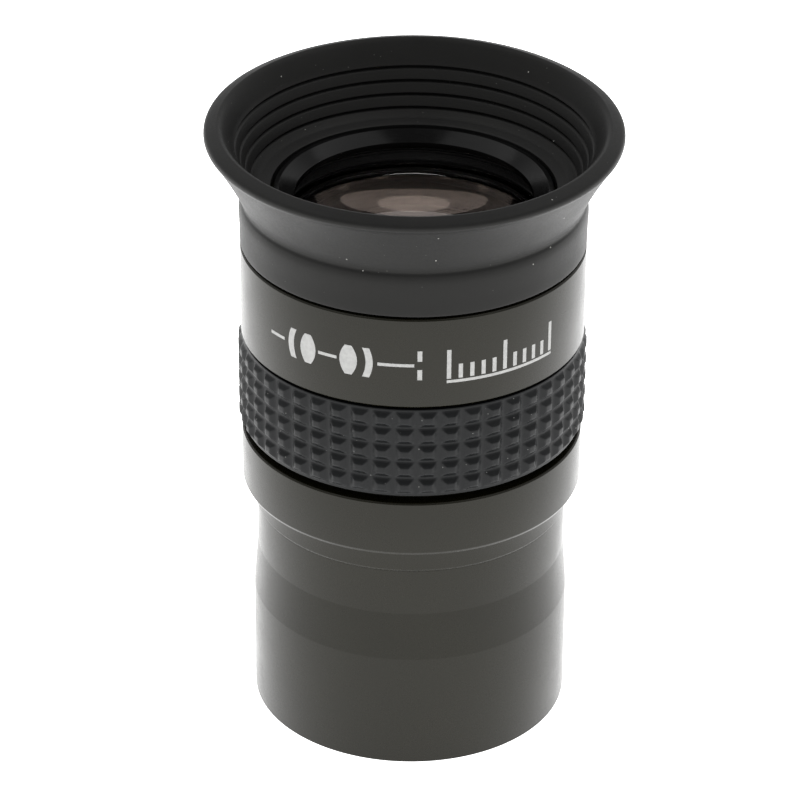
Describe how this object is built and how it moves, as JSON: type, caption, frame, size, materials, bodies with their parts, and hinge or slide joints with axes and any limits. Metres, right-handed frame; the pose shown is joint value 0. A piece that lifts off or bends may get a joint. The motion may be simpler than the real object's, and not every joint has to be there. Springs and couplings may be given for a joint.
{
  "type": "telescope eyepiece",
  "caption": "Telescope eyepiece: push-fit nosepiece barrel with a tapered undercut, stepped housing, ribbed rubber grip ring, cemented lens pairs and a flared folding eyecup.",
  "frame": {"origin": "centre of the barrel's lower end, on the optical axis", "axes": "+Z along the optical axis, from the barrel's open end up to the eyecup; the part is turned about Z, and +X is any radius"},
  "size_m": [0.0406, 0.0406, 0.0632],
  "materials": {
    "anodised_metal": "satin black anodised, fine turned marks",
    "blackened_inner_metal": "matt black, anti-reflection",
    "polished_black_metal": "black anodised, polished cone",
    "grip_rubber": "semi-gloss moulded rubber",
    "eyecup_rubber": "soft matt rubber",
    "coated_glass": "polished, anti-reflection coated",
    "clear_glass": "polished"
  },
  "bodies": {
    "barrel_body": {"barrel": "anodised_metal", "field_stop_ring": "blackened_inner_metal"},
    "housing_body": {"housing": "anodised_metal", "grip_ring": "grip_rubber", "eye_end_bezel": "polished_black_metal", "eye_lens_seat_ring": "blackened_inner_metal", "eye_lens_flint": "coated_glass", "eye_lens_crown": "clear_glass", "lens_spacer": "blackened_inner_metal", "field_lens_crown": "clear_glass", "field_lens_flint": "coated_glass", "field_lens_retaining_ring": "blackened_inner_metal"},
    "eyecup_body": {"eyecup_base": "eyecup_rubber", "eyecup_wall": "eyecup_rubber"},
    "eyecup_lip_body": {"eyecup_lip": "eyecup_rubber"}
  },
  "joints": [
    {"name": "housing_unscrew", "type": "slide", "parent": "barrel_body", "child": "housing_body", "axis": [0, 0, 1], "range_m": [0, 0.008]},
    {"name": "eyecup_pull_off", "type": "slide", "parent": "housing_body", "child": "eyecup_body", "axis": [0, 0, 1], "range_m": [0, 0.01]},
    {"name": "eyecup_fold", "type": "slide", "parent": "eyecup_body", "child": "eyecup_lip_body", "axis": [0, 0, -1], "range_m": [0, 0.0046], "stiffness_N_per_m": 300, "deforming": ["eyecup_wall"]}
  ]
}
